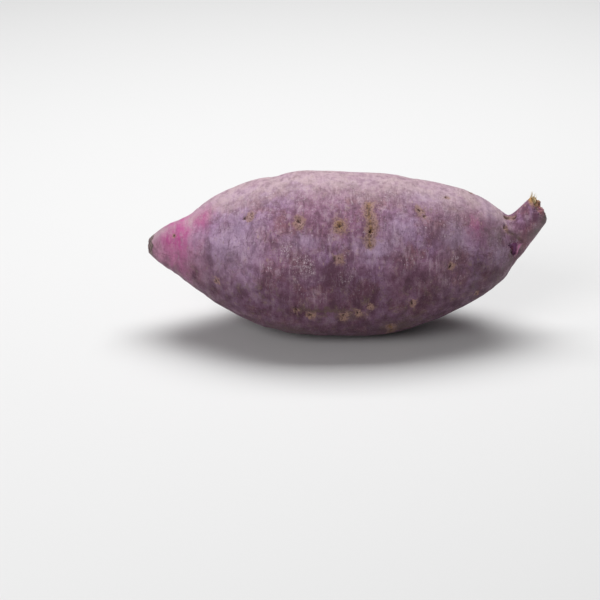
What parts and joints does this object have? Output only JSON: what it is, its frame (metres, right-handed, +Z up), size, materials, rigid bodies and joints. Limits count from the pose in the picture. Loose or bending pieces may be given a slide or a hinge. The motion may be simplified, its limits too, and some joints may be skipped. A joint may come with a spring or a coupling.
{
  "type": "purple sweet potato",
  "caption": "Whole purple sweet potato lying on its side: a spindle-shaped storage root with a broken tail and a short stump of its stalk at the crown.",
  "frame": {"origin": "under the middle of the root's box, on the surface that the root rests on", "axes": "+X along the root from the broken tail to the crown with the stalk's stump, +Y from the front to the back, +Z up"},
  "size_m": [0.1712, 0.0702, 0.0703],
  "materials": {
    "skin": "matte"
  },
  "bodies": {
    "root": {"storage_root": "skin"}
  },
  "joints": []
}
